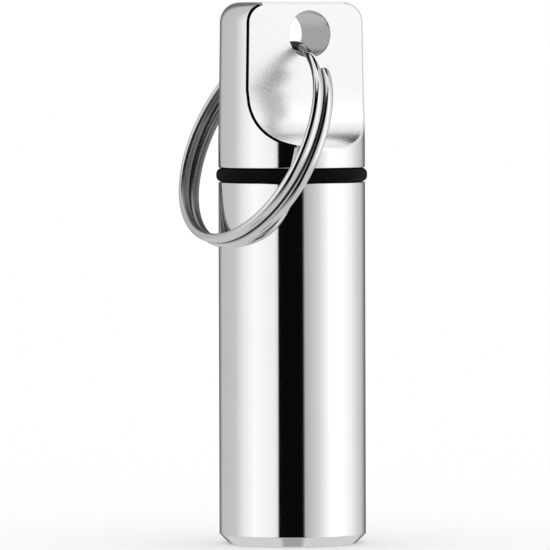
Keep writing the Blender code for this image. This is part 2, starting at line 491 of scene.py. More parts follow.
@dataclass
class Effects:
    """The surface effects that the finishes share, each one a shader node group.

    A range gives the two values of the noise or normal between which an effect sets in.
    """

    mark_detail: float = 3.0
    scratch_axis: tuple[float, float, float] = (0.4, 0.7, 0.6)
    scratch_angles: tuple[float, ...] = (0.62, -0.95)
    scratch_detail: float = 1.0
    scratch_edge: float = 0.05
    haze_detail: float = 4.0
    haze_roughness: float = 0.55
    haze_distortion: float = 0.6
    haze_range: tuple[float, float] = (0.38, 0.68)
    speck_detail: float = 2.0
    speck_range: tuple[float, float] = (0.6, 0.74)
    upward_range: tuple[float, float] = (-0.2, 0.9)
    downward_share: float = 0.25

    def __post_init__(self) -> None:
        """Build each group once."""
        self.tool_marks = self._tool_marks()
        self.hair_scratches = self._hair_scratches()
        self.handling_haze = self._handling_haze()
        self.settled_dust = self._settled_dust()

    def _tool_marks(self) -> bpy.types.NodeTree:
        """Fine even lines that a tool or a polishing belt leaves, across the stretch.

        Returns:
            The group, which puts out a height.
        """
        bench, given = open_group(
            "tool_marks", TreeKind.SHADER,
            {"Position": ("NodeSocketVector", None), "Stretch": ("NodeSocketVector", None),
             "Evenness": ("NodeSocketFloat", 0.5)},
            {"Height": "NodeSocketFloat"})
        place = bench.stretched(given["Position"], given["Stretch"])
        bench.put_out(bench.noise(place, 1.0, self.mark_detail, given["Evenness"]))
        return bench.tree

    def _hair_scratches(self) -> bpy.types.NodeTree:
        """Sparse hair-fine scratches in two directions, from keys and coins in a pocket.

        Returns:
            The group, which puts out a mask.
        """
        bench, given = open_group(
            "hair_scratches", TreeKind.SHADER,
            {"Position": ("NodeSocketVector", None), "Fineness": ("NodeSocketFloat", 9000.0),
             "Length": ("NodeSocketFloat", 260.0), "Sparseness": ("NodeSocketFloat", 0.64)},
            {"Mask": "NodeSocketFloat"})
        stretch = bench.vector(given["Length"], given["Fineness"], given["Fineness"])
        full = bench.maths("ADD", given["Sparseness"], self.scratch_edge)
        masks = []
        for angle in self.scratch_angles:
            turned = bench.node("ShaderNodeVectorRotate", {
                "Vector": given["Position"], "Axis": self.scratch_axis, "Angle": angle},
                rotation_type="AXIS_ANGLE").outputs[0]
            noise = bench.noise(bench.stretched(turned, stretch), 1.0, self.scratch_detail)
            masks.append(bench.remap(noise, given["Sparseness"], full))
        bench.put_out(bench.maths("MAXIMUM", *masks))
        return bench.tree

    def _handling_haze(self) -> bpy.types.NodeTree:
        """Broad soft patches where fingers have dulled the polish.

        Returns:
            The group, which puts out a value from 0 to 1.
        """
        bench, given = open_group(
            "handling_haze", TreeKind.SHADER,
            {"Position": ("NodeSocketVector", None), "Patch": ("NodeSocketFloat", 6 * MM)},
            {"Value": "NodeSocketFloat"})
        noise = bench.noise(given["Position"], bench.maths("DIVIDE", 1.0, given["Patch"]),
                            self.haze_detail, self.haze_roughness, self.haze_distortion)
        bench.put_out(bench.remap(noise, *self.haze_range, smooth=True))
        return bench.tree

    def _settled_dust(self) -> bpy.types.NodeTree:
        """Specks of dust and lint, thickest where the surface faces up.

        Returns:
            The group, which puts out a mask.
        """
        bench, given = open_group(
            "settled_dust", TreeKind.SHADER,
            {"Position": ("NodeSocketVector", None), "Normal": ("NodeSocketVector", None),
             "Speck": ("NodeSocketFloat", 0.12 * MM), "Amount": ("NodeSocketFloat", 0.3)},
            {"Mask": "NodeSocketFloat"})
        noise = bench.noise(given["Position"], bench.maths("DIVIDE", 1.0, given["Speck"]),
                            self.speck_detail)
        specks = bench.remap(noise, *self.speck_range)
        settled = bench.remap(bench.upward(given["Normal"]), *self.upward_range,
                              self.downward_share, 1.0)
        mask = bench.maths("MULTIPLY", bench.maths("MULTIPLY", specks, settled), given["Amount"])
        bench.put_out(mask)
        return bench.tree


# Finishes


class Marks(Enum):
    """Which way a steel surface's tool marks run, as how fast they change along X, Y and Z."""

    TURNED = (60.0, 60.0, 26000.0)
    MILLED = (9000.0, 9000.0, 160.0)
    DRAWN = (5200.0, 900.0, 900.0)


@dataclass(frozen=True)
class SteelFinish:
    """A steel surface: how bright, how smooth, and what its working and wear have left on it.

    A surface with a shaded brightness is painted darker and duller as shade where the mesh carries
    the painted shade mark.
    """

    name: str
    marks: Marks
    brightness: float = 0.955
    blueness: float = 1.003
    roughness: float = 0.04
    mark_depth: float = 0.02 * MM * MM
    scratch_depth: float = 0.05
    haze: float = 0.02
    scratch_haze_ratio: float = 2.0
    worn_brightness: float = 0.925
    scratch_wear: float = 0.35
    haze_wear: float = 0.12
    dust: float = 0.05
    dust_colour: Colour = (0.42, 0.41, 0.39, 1.0)
    dust_roughness: float = 0.3
    # Painted shade: the darker colour and the roughness where the mesh carries the painted shade
    # mark
    shaded_brightness: float | None = None
    shaded_roughness: float = 0.4

    def build(self, effects: Effects) -> bpy.types.Material:
        """Make the material.

        Args:
            effects: The shared effect groups.

        Returns:
            The material, whose patterns all follow Object coordinates.
        """
        material, bench, shader = open_material(self.name)
        place = bench.node("ShaderNodeTexCoord").outputs["Object"]
        normal = bench.node("ShaderNodeNewGeometry").outputs["Normal"]
        marks = bench.effect(effects.tool_marks, Position=place, Stretch=self.marks.value)
        scratches = bench.effect(effects.hair_scratches, Position=place)
        haze = bench.effect(effects.handling_haze, Position=place)
        dust = bench.effect(effects.settled_dust, Position=place, Normal=normal, Amount=self.dust)

        bright, roughness = self._clean_or_shaded(bench)
        wear = bench.weighted_sum(0.0, (scratches, self.scratch_wear), (haze, self.haze_wear))
        worn = bench.blend(wear, bright, self._grey(self.worn_brightness), Blend.MULTIPLY)
        bench.feed(shader["Base Color"], bench.blend(dust, worn, self.dust_colour))
        bench.feed(shader["Metallic"], 1.0)
        dulled = bench.weighted_sum(roughness, (haze, self.haze),
                                    (scratches, self.haze * self.scratch_haze_ratio),
                                    (dust, self.dust_roughness))
        bench.feed(shader["Roughness"], dulled)
        relief = bench.weighted_sum(marks, (scratches, -self.scratch_depth))
        bench.feed(shader["Normal"], bench.bump(relief, self.mark_depth))
        return material

    def _clean_or_shaded(self, bench: NodeBench) -> tuple[object, object]:
        """The steel's colour and roughness before wear.

        Args:
            bench: The material's node bench.

        Returns:
            The colour and the roughness, which follow the painted shade where the finish has any.
        """
        clean = self._grey(self.brightness)
        if self.shaded_brightness is None:
            return clean, self.roughness
        # Painted shade: the mark darkens the steel towards the shaded brightness
        painted_shade = bench.node("ShaderNodeAttribute", attribute_name=PAINTED_SHADE).outputs["Fac"]
        colour = bench.blend(painted_shade, clean, self._grey(self.shaded_brightness))
        return colour, bench.remap(painted_shade, 0.0, 1.0, self.roughness, self.shaded_roughness)

    def _grey(self, level: float) -> Colour:
        """Steel's faintly blue grey."""
        return (level, level, level * self.blueness, 1.0)


@dataclass(frozen=True)
class RubberFinish:
    """Black moulded rubber with a faint grain, handling sheen and lint."""

    name: str
    colour: Colour = (0.003, 0.003, 0.00315, 1.0)
    greyed_colour: Colour = (0.0072, 0.0072, 0.0075, 1.0)
    greyed_share: float = 0.35
    roughness: float = 0.4
    haze: float = 0.14
    haze_patch: float = 2.5 * MM
    sheen_level: float = 0.03
    grain: float = 0.09 * MM
    grain_depth: float = 0.004 * MM
    grain_detail: float = 3.0
    lint: float = 0.06
    lint_size: float = 0.07 * MM
    lint_colour: Colour = (0.16, 0.155, 0.15, 1.0)

    def build(self, effects: Effects) -> bpy.types.Material:
        """Make the material.

        Args:
            effects: The shared effect groups.

        Returns:
            The material, whose patterns all follow Object coordinates.
        """
        material, bench, shader = open_material(self.name)
        place = bench.node("ShaderNodeTexCoord").outputs["Object"]
        normal = bench.node("ShaderNodeNewGeometry").outputs["Normal"]
        haze = bench.effect(effects.handling_haze, Position=place, Patch=self.haze_patch)
        lint = bench.effect(effects.settled_dust, Position=place, Normal=normal,
                            Speck=self.lint_size, Amount=self.lint)
        grain = bench.noise(place, 1 / self.grain, self.grain_detail)
        greyed = bench.maths("MULTIPLY", haze, self.greyed_share)
        rubber = bench.blend(greyed, self.colour, self.greyed_colour)
        bench.feed(shader["Base Color"], bench.blend(lint, rubber, self.lint_colour))
        bench.feed(shader["Roughness"], bench.weighted_sum(self.roughness, (haze, self.haze)))
        bench.feed(shader["Specular IOR Level"], self.sheen_level)
        bench.feed(shader["Normal"], bench.bump(grain, self.grain_depth))
        return material


class Palette:
    """Every finish of the object, built once."""

    def __init__(self) -> None:
        """Build the finishes on one set of effects."""
        effects = Effects()
        self.polished_tube = SteelFinish("polished_tube_steel", Marks.TURNED).build(effects)
        self.bored = SteelFinish("bored_steel", Marks.TURNED, brightness=0.84, roughness=0.24,
                                 haze=0.05, mark_depth=0.9 * MM * MM, dust=0.1).build(effects)
        self.polished_cap = SteelFinish("polished_cap_steel", Marks.TURNED).build(effects)
        self.milled = SteelFinish("satin_milled_steel", Marks.MILLED, brightness=0.995,
                                  roughness=0.26, mark_depth=0.03 * MM * MM).build(effects)
        self.thread = SteelFinish("thread_steel", Marks.TURNED, brightness=0.86, roughness=0.16,
                                  haze=0.05, mark_depth=0.4 * MM * MM).build(effects)
        self.drilled = SteelFinish("drilled_steel", Marks.TURNED, brightness=0.66, roughness=0.12,
                                   haze=0.05, mark_depth=0.2 * MM * MM).build(effects)
        # The wire's shaded brightness paints shade in the hole, inside the back turn and between
        # the turns
        self.wire = SteelFinish("spring_wire_steel", Marks.DRAWN, brightness=0.82, roughness=0.06,
                                mark_depth=0.01 * MM * MM, scratch_depth=0.02, dust=0.02,
                                shaded_brightness=0.08).build(effects)
        self.rubber = RubberFinish("black_seal_rubber").build(effects)


# Geometry node pieces


def bake_tree(name: str, tree: bpy.types.NodeTree, values: dict[str, object]) -> bpy.types.Object:
    """Run a geometry tree once and keep its result as a plain mesh.

    Args:
        name: The new object's name.
        tree: The geometry node tree.
        values: A value for each of the tree's named inputs.

    Returns:
        The object, with no modifier left and its faces pointing outwards.
    """
    item = add_object(name, bpy.data.meshes.new(name))
    modifier = item.modifiers.new(name, "NODES")
    modifier.node_group = tree
    for socket in tree.interface.items_tree:
        if socket.in_out == "INPUT" and socket.name in values:
            modifier[socket.identifier] = values[socket.name]
    depsgraph = bpy.context.evaluated_depsgraph_get()
    mesh = bpy.data.meshes.new_from_object(item.evaluated_get(depsgraph), depsgraph=depsgraph)
    item.modifiers.clear()
    item.data = mesh
    mesh.name = name
    bm = bmesh.new()
    bm.from_mesh(mesh)
    bmesh.ops.remove_doubles(bm, verts=bm.verts, dist=WELD_DISTANCE)
    bmesh.ops.recalc_face_normals(bm, faces=bm.faces)
    bm.to_mesh(mesh)
    bm.free()
    return item


def placed_line(bench: NodeBench, count: bpy.types.NodeSocket,
                position: bpy.types.NodeSocket) -> bpy.types.NodeSocket:
    """Place a curve point by point.

    Args:
        bench: The tree's node bench.
        count: The number of points.
        position: Each point's place.

    Returns:
        The curve, with its normals level.
    """
    line = bench.node("GeometryNodeCurvePrimitiveLine").outputs[0]
    points = bench.node("GeometryNodeResampleCurve", {"Curve": line, "Count": count}).outputs[0]
    moved = bench.node("GeometryNodeSetPosition", {"Geometry": points, "Position": position})
    level = bench.node("GeometryNodeSetCurveNormal", {0: moved.outputs[0]}, mode="Z_UP")
    return level.outputs[0]


def close_sweep(bench: NodeBench, path: bpy.types.NodeSocket, section: bpy.types.NodeSocket,
                material: bpy.types.NodeSocket) -> None:
    """End a geometry tree with a section swept along a path.

    Args:
        bench: The tree's node bench.
        path: The curve to follow.
        section: The closed curve that is swept.
        material: The material to set.
    """
    swept = bench.node("GeometryNodeCurveToMesh", {
        "Curve": path, "Profile Curve": section, "Fill Caps": True}).outputs[0]
    solid = bench.node("GeometryNodeRealizeInstances", {0: swept}).outputs[0]
    dressed = bench.node("GeometryNodeSetMaterial", {"Geometry": solid, "Material": material})
    bench.put_out(dressed.outputs[0])


def on_circle(bench: NodeBench, radius: object, angle: object,
              height: object) -> bpy.types.NodeSocket:
    """The place at an angle round the Z axis.

    Args:
        bench: The tree's node bench.
        radius: The place's distance from the axis.
        angle: Its angle from the +X side.
        height: Its height.

    Returns:
        The place.
    """
    x, y = (bench.maths("MULTIPLY", radius, bench.maths(wave, angle))
            for wave in ("COSINE", "SINE"))
    return bench.vector(x, y, height)


def screw_ridge_tree() -> bpy.types.NodeTree:
    """A right-handed helical ridge of trapezoid section, which sinks away at both ends.

    Returns:
        The geometry node tree.
    """
    bench, given = open_group(
        "screw_ridge", TreeKind.GEOMETRY,
        {"Start Height": ("NodeSocketFloat", 0.0), "End Height": ("NodeSocketFloat", 10 * MM),
         "Phase Height": ("NodeSocketFloat", 0.0), "Pitch": ("NodeSocketFloat", 1.5 * MM),
         "Root Radius": ("NodeSocketFloat", 6 * MM), "Depth": ("NodeSocketFloat", 0.7 * MM),
         "Crest Width": ("NodeSocketFloat", 0.3 * MM), "Root Width": ("NodeSocketFloat", 1.1 * MM),
         "Sink": ("NodeSocketFloat", 0.05 * MM), "Outward": ("NodeSocketFloat", 1.0),
         "Fade Turns": ("NodeSocketFloat", 0.3), "Steps per Turn": ("NodeSocketInt", 96),
         "Material": ("NodeSocketMaterial", None)},
        {"Geometry": "NodeSocketGeometry"})
    rise = bench.maths("SUBTRACT", given["End Height"], given["Start Height"])
    turns = bench.maths("DIVIDE", rise, given["Pitch"])
    steps = bench.maths("ROUND", bench.maths("MULTIPLY", turns, given["Steps per Turn"]))
    index = bench.node("GeometryNodeInputIndex").outputs[0]
    turned = bench.maths("DIVIDE", index, given["Steps per Turn"])
    height = bench.maths("MULTIPLY_ADD", turned, given["Pitch"], given["Start Height"])
    from_phase = bench.maths("SUBTRACT", height, given["Phase Height"])
    angle = bench.maths("MULTIPLY", bench.maths("DIVIDE", from_phase, given["Pitch"]), FULL_TURN)
    nearest_end = bench.maths("MINIMUM", turned, bench.maths("SUBTRACT", turns, turned))
    sunk_share = bench.remap(nearest_end, 0.0, given["Fade Turns"], 1.0, 0.0, smooth=True)
    sunk = bench.maths("MULTIPLY_ADD", sunk_share, given["Depth"], given["Sink"])
    inset = bench.maths("MULTIPLY", sunk, given["Outward"])
    radius = bench.maths("SUBTRACT", given["Root Radius"], inset)
    count = bench.maths("ADD", steps, 1.0)
    path = placed_line(bench, count, on_circle(bench, radius, angle, height))

    tall = bench.maths("ADD", given["Depth"], given["Sink"])
    reach = bench.maths("MULTIPLY", tall, given["Outward"])
    corners = {}
    for number, (out, width, half) in enumerate((
            (0.0, given["Root Width"], -0.5), (reach, given["Crest Width"], -0.5),
            (reach, given["Crest Width"], 0.5), (0.0, given["Root Width"], 0.5)), start=1):
        corners[f"Point {number}"] = bench.vector(out, bench.maths("MULTIPLY", width, half))
    section = bench.node("GeometryNodeCurvePrimitiveQuadrilateral", corners, mode="POINTS")
    close_sweep(bench, path, section.outputs[0], given["Material"])
    return bench.tree


def split_ring_tree() -> bpy.types.NodeTree:
    """Two turns of oval wire about the Z axis, crossing from one side to the other.

    Returns:
        The geometry node tree.
    """
    bench, given = open_group(
        "split_ring_turns", TreeKind.GEOMETRY,
        {"Wire Radius": ("NodeSocketFloat", 12 * MM), "Wire Width": ("NodeSocketFloat", 1 * MM),
         "Wire Thickness": ("NodeSocketFloat", 1.3 * MM), "Squareness": ("NodeSocketFloat", 2.0),
         "Half Step": ("NodeSocketFloat", 0.7 * MM), "First Angle": ("NodeSocketFloat", 0.0),
         "Last Angle": ("NodeSocketFloat", 2 * FULL_TURN),
         "Cross Start": ("NodeSocketFloat", 0.9 * FULL_TURN),
         "Cross End": ("NodeSocketFloat", 1.1 * FULL_TURN), "Steps": ("NodeSocketInt", 240),
         "Section Steps": ("NodeSocketInt", 48), "Material": ("NodeSocketMaterial", None)},
        {"Geometry": "NodeSocketGeometry"})
    index = bench.node("GeometryNodeInputIndex").outputs[0]
    share = bench.maths("DIVIDE", index, given["Steps"])
    span = bench.maths("SUBTRACT", given["Last Angle"], given["First Angle"])
    angle = bench.maths("MULTIPLY_ADD", share, span, given["First Angle"])
    other_side = bench.maths("MULTIPLY", given["Half Step"], -1.0)
    side = bench.remap(angle, given["Cross Start"], given["Cross End"], given["Half Step"],
                       other_side, smooth=True)
    count = bench.maths("ADD", given["Steps"], 1.0)
    path = placed_line(bench, count, on_circle(bench, given["Wire Radius"], angle, side))

    turned = bench.maths("DIVIDE", bench.maths("ADD", index, 0.5), given["Section Steps"])
    bearing = bench.maths("MULTIPLY", turned, FULL_TURN)
    power = bench.maths("DIVIDE", 2.0, given["Squareness"])
    offsets = []
    for operation, size in (("COSINE", given["Wire Width"]), ("SINE", given["Wire Thickness"])):
        wave = bench.maths(operation, bearing)
        bulged = bench.maths("POWER", bench.maths("ABSOLUTE", wave), power)
        signed = bench.maths("MULTIPLY", bulged, bench.maths("SIGN", wave))
        offsets.append(bench.maths("MULTIPLY", signed, bench.maths("MULTIPLY", size, 0.5)))
    circle = bench.node("GeometryNodeCurvePrimitiveCircle", {"Resolution": given["Section Steps"]})
    section = bench.node("GeometryNodeSetPosition", {
        "Geometry": circle.outputs[0], "Position": bench.vector(*offsets)})
    close_sweep(bench, path, section.outputs[0], given["Material"])
    return bench.tree


# The object's sub-assemblies


@dataclass
class Thread:
    """The right-handed thread that the tube and the cap share."""

    pitch: float = 1.5 * MM
    depth: float = 0.7 * MM
    crest_width: float = 0.3 * MM
    flank_angle: float = math.radians(30)
    clearance: float = 0.12 * MM
    radius: float = 6.5 * MM
    smooth_angle: float = math.radians(25)

    @property
    def root_radius(self) -> float:
        """The cap thread's root."""
        return self.radius - self.depth

    @property
    def root_width(self) -> float:
        """How wide a ridge is at its root."""
        return self.crest_width + 2 * self.depth * math.tan(self.flank_angle)

    def ridge(self, name: str, tree: bpy.types.NodeTree, material: bpy.types.Material,
              start: float, end: float, phase: float, inward: bool) -> bpy.types.Object:
        """Bake one ridge.

        Args:
            name: The new object's name.
            tree: The screw ridge tree.
            material: The ridge's finish.
            start: The height of the ridge's lower end.
            end: The height of its upper end.
            phase: A height at which the ridge crosses the +X side.
            inward: True for the tube's internal thread.

        Returns:
            The ridge's object.
        """
        item = bake_tree(name, tree, {
            "Start Height": start, "End Height": end, "Phase Height": phase,
            "Pitch": self.pitch, "Depth": self.depth, "Crest Width": self.crest_width,
            "Root Width": self.root_width, "Outward": -1.0 if inward else 1.0,
            "Root Radius": self.radius + self.clearance if inward else self.root_radius,
            "Material": material})
        item.data.shade_smooth()
        item.data.set_sharp_from_angle(angle=self.smooth_angle)
        return item


@dataclass
class Tube:
    """The blind steel tube, with a chamfered foot, an internal thread and a plain mouth."""

    thread: Thread
    radius: float = 8.25 * MM
    length: float = 40.7 * MM
    wall: float = 2.45 * MM
    floor: float = 2.2 * MM
    foot_chamfer: float = 1.1 * MM
    rim_width: float = 1.4 * MM
    mouth_depth: float = 1.3 * MM
    thread_turns: int = 5
    relief: float = 0.1 * MM
    edge: float = 0.15 * MM
    inner_edge: float = 0.04 * MM
    floor_easing: float = 0.6 * MM
    columns: int = 256

    @property
    def mouth(self) -> float:
        """The height of the mouth's floor, where the thread begins."""
        return self.length - self.mouth_depth

    @property
    def thread_end(self) -> float:
        """The height of the thread's lower end."""
        return self.mouth - self.thread_turns * self.thread.pitch

    def outline(self) -> list[OutlinePoint]:
        """The tube's turned outline.

        Returns:
            Its points, from the middle of the foot round to the middle of the floor.
        """
        groove = self.thread.radius + self.thread.clearance
        undercut = groove + self.relief
        bore = self.radius - self.wall
        mouth_radius = self.radius - self.rim_width
        undercut_end = self.thread_end - self.thread.pitch
        inside = Zone.MACHINED
        return eased_outline([
            Corner(0, 0),
            Corner(self.radius - self.foot_chamfer, 0, self.edge),
            Corner(self.radius, self.foot_chamfer, self.edge),
            Corner(self.radius, self.length, self.edge),
            Corner(mouth_radius, self.length, self.edge, inside),
            Corner(mouth_radius, self.mouth, self.inner_edge, inside),
            Corner(groove, self.mouth, self.inner_edge, inside),
            Corner(groove, self.thread_end, self.inner_edge, inside),
            Corner(undercut, self.thread_end, self.inner_edge, inside),
            Corner(undercut, undercut_end, self.inner_edge, inside),
            Corner(bore, undercut_end, self.inner_edge, inside),
            Corner(bore, self.floor, self.floor_easing, inside),
            Corner(0, self.floor, 0, inside),
        ])

    def build(self, palette: Palette, ridge_tree: bpy.types.NodeTree) -> list[bpy.types.Object]:
        """Build and dress the tube.

        Args:
            palette: The object's finishes.
            ridge_tree: The screw ridge tree.

        Returns:
            The tube's body and its thread.
        """
        skin = Skin()
        outline = self.outline()
        rows = turned_rows(skin, outline, compass(self.columns))
        for low, high, point in zip(rows, rows[1:], outline):
            skin.join(low, high, point.zone)
        body = skin.build("tube_body", (palette.polished_tube, palette.bored))
        half_pitch = self.thread.pitch / 2
        ridge = self.thread.ridge("tube_thread", ridge_tree, palette.bored,
                                  self.thread_end + half_pitch, self.mouth - half_pitch,
                                  self.mouth + half_pitch, inward=True)
        for piece in (body, ridge):
            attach(piece, "tube")
            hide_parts("tube")
        return [body, ridge]


@dataclass(frozen=True)
class Station:
    """One place along the broken edge between the cap's turned and milled surfaces.

    The centre is that of a ball inside the cap that touches both surfaces where the break ends.
    """

    centre: Vector
    turned: Vector
    milled: Vector

    def on_side(self, side: Side, hand: Hand) -> "Station":
        """The same place on one half of a flat."""
        flip = Vector((hand, side, 1))
        return Station(self.centre * flip, self.turned * flip, self.milled * flip)

    def across(self, ball: float, ease: float, steps: int) -> list[tuple[Vector, Vector]]:
        """The break's section: a flat chamfer that is eased into both surfaces.

        Args:
            ball: The radius of the ball that touches both surfaces.
            ease: The radius that eases each side of the chamfer.
            steps: The number of steps in each easing.

        Returns:
            Points with their normals, from the turned to the milled surface.
        """
        middle = (self.turned + self.milled).normalized()
        found = []
        for anchor, start, end in ((self.turned, self.turned, middle),
                                   (self.milled, middle, self.milled)):
            for step in range(steps + 1):
                normal = start.slerp(end, step / steps)
                found.append((self.centre + anchor * (ball - ease) + normal * ease, normal))
        return found


# The rows of points across each broken edge, one row for each station, by side and hand
Strips = dict[tuple[Side, Hand], list[list[int]]]


@dataclass
class Cap:
    """The cap: one turned piece with two milled flats, scoops, a cross hole and a threaded plug."""

    tube: Tube
    seal_space: float = 1.6 * MM
    height: float = 18.6 * MM
    top_rounding: float = 2.3 * MM
    tab_half: float = 3.38 * MM
    scoop_radius: float = 7.0 * MM
    flange_height: float = 2.3 * MM
    taper_start: float = 3.0 * MM
    taper: float = 0.2 * MM
    hole_radius: float = 2.6 * MM
    hole_to_top: float = 3.6 * MM
    hole_offset: float = 0.5 * MM
    hole_edge: float = 0.1 * MM
    tab_break: float = 0.34 * MM
    break_ease: float = 0.06 * MM
    edge: float = 0.15 * MM
    inner_edge: float = 0.04 * MM
    collar_clearance: float = 0.15 * MM
    thread_turns: int = 4
    relief: float = 0.1 * MM
    plug_chamfer: float = 0.5 * MM
    half_columns: int = 128
    scoop_steps: int = 36
    flat_steps: int = 5
    corner_steps: int = 12
    top_steps: int = 4
    edge_steps: int = 8
    ease_steps: int = 3
    hole_columns: int = 96
    settling_rounds: int = 3

    @property
    def thread(self) -> Thread:
        """The thread that the cap shares with the tube."""
        return self.tube.thread

    @property
    def radius(self) -> float:
        """The cap's radius at its base, flush with the tube."""
        return self.tube.radius

    @property
    def base(self) -> float:
        """The height of the flange's lower face."""
        return self.tube.length + self.seal_space

    @property
    def top(self) -> float:
        """The height of the cap's top."""
        return self.base + self.height

    @property
    def collar_radius(self) -> float:
        """The radius of the collar, which fits the tube's mouth."""
        return self.tube.radius - self.tube.rim_width - self.collar_clearance

    @property
    def collar_end(self) -> float:
        """The height of the collar's lower end."""
        return self.tube.mouth + self.collar_clearance

    @property
    def thread_top(self) -> float:
        """The height of the thread's upper end, one pitch below the collar."""
        return self.collar_end - self.thread.pitch

    @property
    def plug_end(self) -> float:
        """The height of the plug's lower end."""
        return self.thread_top - self.thread_turns * self.thread.pitch

    @property
    def scoop_centre(self) -> tuple[float, float]:
        """The scoop's axis.

        Returns:
            Its distance from the middle and its height.
        """
        out = self.tab_half + self.scoop_radius
        rise = math.sqrt(self.scoop_radius ** 2 - (out - self.radius) ** 2)
        return out, self.base + self.flange_height + rise

    @property
    def corner_height(self) -> float:
        """The height at which the rounded top begins."""
        return self.top - self.top_rounding

    @property
    def ball_y(self) -> float:
        """How far from the middle a ball lies that rolls along the flat's edge from inside."""
        return self.tab_half - self.tab_break

    @property
    def hole_centre(self) -> Vector:
        """The middle of the cross hole."""
        return Vector((self.hole_offset, 0, self.top - self.hole_to_top))

    def turned_radius(self, height: float) -> float:
        """The turned surface's radius below the rounded top.

        Args:
            height: The height at which it is wanted.

        Returns:
            The radius there.
        """
        start = self.base + self.taper_start
        share = (height - start) / (self.corner_height - start)
        return self.radius - self.taper * clamped(share)

    def stations(self) -> tuple[list[Station], int, int]:
        """Places along the broken edge of one quarter of the cap.

        A ball that touches both surfaces from inside rolls from the foot of the scoop up the
        edge of the flat and over the top to the middle.

        Returns:
            The stations, the number of the one where the flat begins, and the number of the
            one where the level top begins.
        """
        found = self._scoop_stations()
        flat_from = len(found) - 1
        found += self._flat_stations()
        top_from = len(found) - 1
        corner_x = found[top_from].centre.x
        for step in range(1, self.top_steps + 1):
            x = corner_x * (1 - step / self.top_steps)
            centre = Vector((x, self.ball_y, self.top - self.tab_break))
            found.append(Station(centre, Vector((0, 0, 1)), Vector((0, 1, 0))))
        return found, flat_from, top_from

    def _scoop_stations(self) -> list[Station]:
        """Places up the edge of the scoop.

        The turned surface tapers, so the ball's place is found in a few rounds.

        Returns:
            The stations, from the foot of the scoop to where the flat begins.
        """
        ball = self.tab_break
        out, scoop_z = self.scoop_centre
        last_turn = math.acos(self.ball_y / (self.turned_radius(scoop_z) - ball))
        found = []
        for step in range(self.scoop_steps + 1):
            turn = last_turn * step / self.scoop_steps
            reach = self.radius - ball
            for _ in range(self.settling_rounds):
                x, y = reach * math.sin(turn), reach * math.cos(turn)
                dip = math.acos(min((out - y) / (self.scoop_radius + ball), 1.0))
                z = scoop_z - (self.scoop_radius + ball) * math.sin(dip)
                reach = self.turned_radius(z) - ball
            found.append(Station(Vector((x, y, z)), Vector((x, y, 0)).normalized(),
                                 Vector((0, math.cos(dip), math.sin(dip)))))
        return found

    def _flat_stations(self) -> list[Station]:
        """Places up the edge of the flat and round its top corner.

        Returns:
            The stations, from above the scoop to where the level top begins.
        """
        ball, ball_y = self.tab_break, self.ball_y
        scoop_z = self.scoop_centre[1]
        corner_radius = self.turned_radius(self.corner_height) - self.top_rounding
        flat = Vector((0, 1, 0))
        found = []
        for step in range(1, self.flat_steps):
            z = scoop_z + (self.corner_height - scoop_z) * step / self.flat_steps
            reach = self.turned_radius(z) - ball
            centre = Vector((math.sqrt(reach ** 2 - ball_y ** 2), ball_y, z))
            found.append(Station(centre, Vector((centre.x, ball_y, 0)).normalized(), flat))
        for step in range(self.corner_steps + 1):
            lean = QUARTER_TURN * step / self.corner_steps
            reach = corner_radius + (self.top_rounding - ball) * math.cos(lean)
            x = math.sqrt(reach ** 2 - ball_y ** 2)
            z = self.corner_height + (self.top_rounding - ball) * math.sin(lean)
            outward = Vector((x, ball_y, 0)) / reach * math.cos(lean)
            found.append(Station(Vector((x, ball_y, z)), outward + Vector((0, 0, math.sin(lean))),
                                 flat))
        return found

    def plug_outline(self, end: float) -> list[OutlinePoint]:
        """The turned outline of the plug, the collar and the flange.

        Args:
            end: The height on the flange where it ends.

        Returns:
            Its points, from the middle of the plug's end.
        """
        root = self.thread.root_radius
        neck = root - self.relief
        inside = Zone.MACHINED
        return eased_outline([
            Corner(0, self.plug_end, 0, inside),
            Corner(root - self.plug_chamfer, self.plug_end, self.inner_edge, inside),
            Corner(root, self.plug_end + self.plug_chamfer, self.inner_edge, inside),
            Corner(root, self.thread_top, self.inner_edge, inside),
            Corner(neck, self.thread_top, self.inner_edge, inside),
            Corner(neck, self.collar_end, self.inner_edge, inside),
            Corner(self.collar_radius, self.collar_end, self.edge, inside),
            Corner(self.collar_radius, self.base, self.inner_edge),
            Corner(self.radius, self.base, self.edge),
            Corner(self.radius, end),
        ])

    def head(self, palette: Palette) -> bpy.types.Object:
        """Build the cap's body, with true normals on every rounded edge.

        Args:
            palette: The object's finishes.

        Returns:
            The body's object.
        """
        skin = Skin()
        quarter, flat_from, top_from = self.stations()
        last = len(quarter) - 1
        strips: Strips = {}
        for side in Side:
            for hand in Hand:
                rows = []
                for number, station in enumerate(quarter):
                    # The two halves of a flat meet at its first and last stations
                    if hand is Hand.LEFT and number in (0, last):
                        rows.append(strips[side, Hand.RIGHT][number])
                        continue
                    here = station.on_side(side, hand)
                    rows.append([skin.add(point, normal) for point, normal in
                                 here.across(self.tab_break, self.break_ease, self.ease_steps)])
                strips[side, hand] = rows
                for low, high in zip(rows, rows[1:]):
                    skin.join(low, high, Zone.POLISHED, closed=False)
        lowest, highest = self._narrow_sides(skin, quarter, strips, top_from)
        self._level_top(skin, strips, top_from, highest)
        rims = [self._flat_and_scoop(skin, side, strips, flat_from) for side in Side]
        skin.join(*rims, Zone.DRILLED)
        outline = self.plug_outline(quarter[0].centre.z)[:-1]
        turned = turned_rows(skin, outline, compass(2 * self.half_columns)) + [lowest]
        for low, high, point in zip(turned, turned[1:], outline):
            skin.join(low, high, point.zone)
        return skin.build("cap_head", (palette.polished_cap, palette.milled, palette.drilled))

